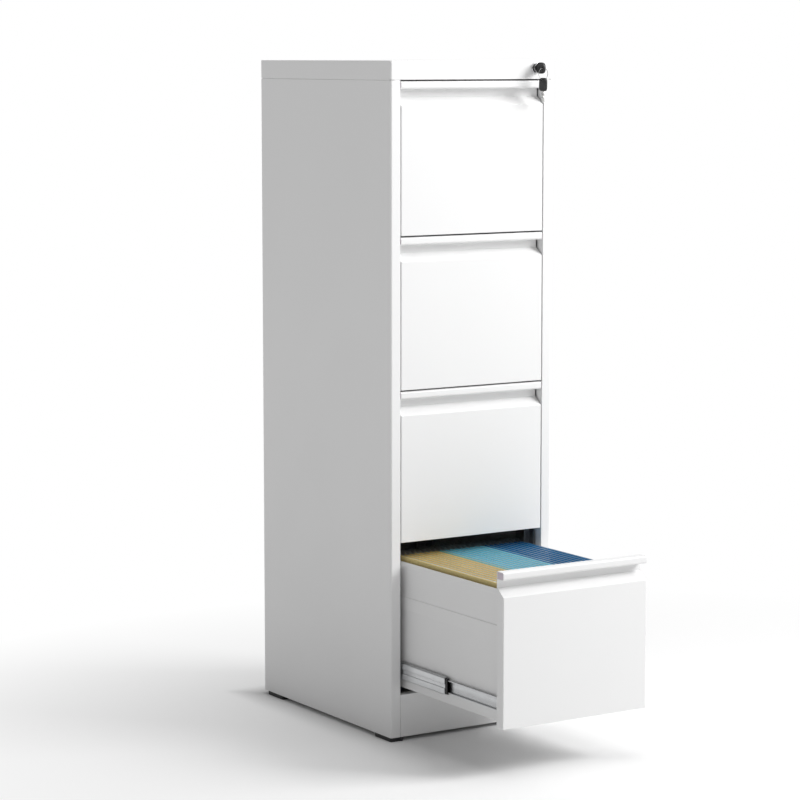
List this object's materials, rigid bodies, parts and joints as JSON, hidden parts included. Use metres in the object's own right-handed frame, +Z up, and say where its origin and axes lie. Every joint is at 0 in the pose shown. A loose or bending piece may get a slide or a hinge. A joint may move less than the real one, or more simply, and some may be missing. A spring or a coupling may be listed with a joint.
{
  "type": "filing cabinet",
  "caption": "Tall steel filing cabinet with file drawers on ball-bearing slides, full-width handles, a keyed locking bar and hanging files in the open lowest drawer.",
  "frame": {"origin": "on the floor, on the middle plane between the side panels, halfway between the open lowest drawer's front and the rivets on the cabinet's back", "axes": "+X to the right seen from the front, +Y back into the cabinet, +Z up; the drawers open towards -Y"},
  "size_m": [0.38, 0.8566, 1.33],
  "materials": {
    "white_steel": "white powder coat, fine grain, satin",
    "zinc_steel": "bright zinc plated",
    "black_plastic": "moulded, lightly grained",
    "white_plastic": "moulded",
    "lock_chrome": "polished",
    "key_steel": "nickel plated",
    "yellow_card": "card",
    "light_blue_card": "card",
    "dark_blue_card": "card"
  },
  "bodies": {
    "cabinet": {"left_side_panel": "white_steel", "right_side_panel": "white_steel", "top_cap": "white_steel", "back_panel": "white_steel", "back_rivets": "zinc_steel", "kick_plate": "white_steel", "base_pan": "white_steel", "feet": "black_plastic", "uprights": "zinc_steel", "cabinet_rails": "zinc_steel", "rail_screws": "zinc_steel", "lock_housing": "lock_chrome", "lock_nut": "zinc_steel", "lock_bar_guides": "black_plastic"},
    "drawer_1": {"drawer_1_front": "white_steel", "drawer_1_handle": "white_steel", "drawer_1_handle_caps": "white_plastic", "drawer_1_tray": "white_steel", "drawer_1_inner_rails": "zinc_steel", "drawer_1_hanger_rails": "white_steel"},
    "drawer_2": {"drawer_2_front": "white_steel", "drawer_2_handle": "white_steel", "drawer_2_handle_caps": "white_plastic", "drawer_2_tray": "white_steel", "drawer_2_inner_rails": "zinc_steel", "drawer_2_hanger_rails": "white_steel"},
    "drawer_3": {"drawer_3_front": "white_steel", "drawer_3_handle": "white_steel", "drawer_3_handle_caps": "white_plastic", "drawer_3_tray": "white_steel", "drawer_3_inner_rails": "zinc_steel", "drawer_3_hanger_rails": "white_steel"},
    "drawer_4": {"drawer_4_front": "white_steel", "drawer_4_handle": "white_steel", "drawer_4_handle_caps": "white_plastic", "drawer_4_tray": "white_steel", "drawer_4_inner_rails": "zinc_steel", "drawer_4_hanger_rails": "white_steel", "yellow_files": "yellow_card", "light_blue_files": "light_blue_card", "dark_blue_files": "dark_blue_card", "file_hooks": "zinc_steel"},
    "drawer_1_slides": {"drawer_1_middle_rails": "zinc_steel", "drawer_1_rail_stops": "black_plastic"},
    "drawer_2_slides": {"drawer_2_middle_rails": "zinc_steel", "drawer_2_rail_stops": "black_plastic"},
    "drawer_3_slides": {"drawer_3_middle_rails": "zinc_steel", "drawer_3_rail_stops": "black_plastic"},
    "drawer_4_slides": {"drawer_4_middle_rails": "zinc_steel", "drawer_4_rail_stops": "black_plastic"},
    "lock_plug": {"lock_plug": "lock_chrome", "lock_cam": "lock_chrome", "key_blade": "key_steel", "key_head": "black_plastic"},
    "lock_bar": {"lock_bar": "zinc_steel", "lock_bar_link": "zinc_steel", "lock_bar_fingers": "zinc_steel"},
    "key_ring": {"key_ring": "key_steel"}
  },
  "joints": [
    {"name": "drawer_1_slide", "type": "slide", "parent": "cabinet", "child": "drawer_1", "axis": [0, -1, 0], "range_m": [0, 0.42]},
    {"name": "drawer_1_slides_slide", "type": "slide", "parent": "cabinet", "child": "drawer_1_slides", "axis": [0, -1, 0], "range_m": [0, 0.21]},
    {"name": "drawer_2_slide", "type": "slide", "parent": "cabinet", "child": "drawer_2", "axis": [0, -1, 0], "range_m": [0, 0.42]},
    {"name": "drawer_2_slides_slide", "type": "slide", "parent": "cabinet", "child": "drawer_2_slides", "axis": [0, -1, 0], "range_m": [0, 0.21]},
    {"name": "drawer_3_slide", "type": "slide", "parent": "cabinet", "child": "drawer_3", "axis": [0, -1, 0], "range_m": [0, 0.42]},
    {"name": "drawer_3_slides_slide", "type": "slide", "parent": "cabinet", "child": "drawer_3_slides", "axis": [0, -1, 0], "range_m": [0, 0.21]},
    {"name": "drawer_4_slide", "type": "slide", "parent": "cabinet", "child": "drawer_4", "axis": [0, -1, 0], "range_m": [-0.3525, 0.0675]},
    {"name": "drawer_4_slides_slide", "type": "slide", "parent": "cabinet", "child": "drawer_4_slides", "axis": [0, -1, 0], "range_m": [-0.17625, 0.03375]},
    {"name": "lock_plug_turn", "type": "hinge", "parent": "cabinet", "child": "lock_plug", "pos_m": [0.1475, -0.07575, 1.315], "axis": [0, -1, 0], "range_deg": [-90, 0]},
    {"name": "lock_bar_slide", "type": "slide", "parent": "cabinet", "child": "lock_bar", "axis": [0, 0, 1], "range_m": [-0.01, 0]},
    {"name": "key_ring_swing", "type": "hinge", "parent": "lock_plug", "child": "key_ring", "pos_m": [0.1475, -0.10175, 1.315], "axis": [1, 0, 0], "range_deg": [-100, 4]}
  ],
  "couplings": [
    {"joint": "drawer_1_slides_slide", "follows": "drawer_1_slide", "ratio": 0.5},
    {"joint": "drawer_2_slides_slide", "follows": "drawer_2_slide", "ratio": 0.5},
    {"joint": "drawer_3_slides_slide", "follows": "drawer_3_slide", "ratio": 0.5},
    {"joint": "drawer_4_slides_slide", "follows": "drawer_4_slide", "ratio": 0.5},
    {"joint": "lock_plug_turn", "follows": "lock_bar_slide", "rad_per_m": 157.08}
  ]
}
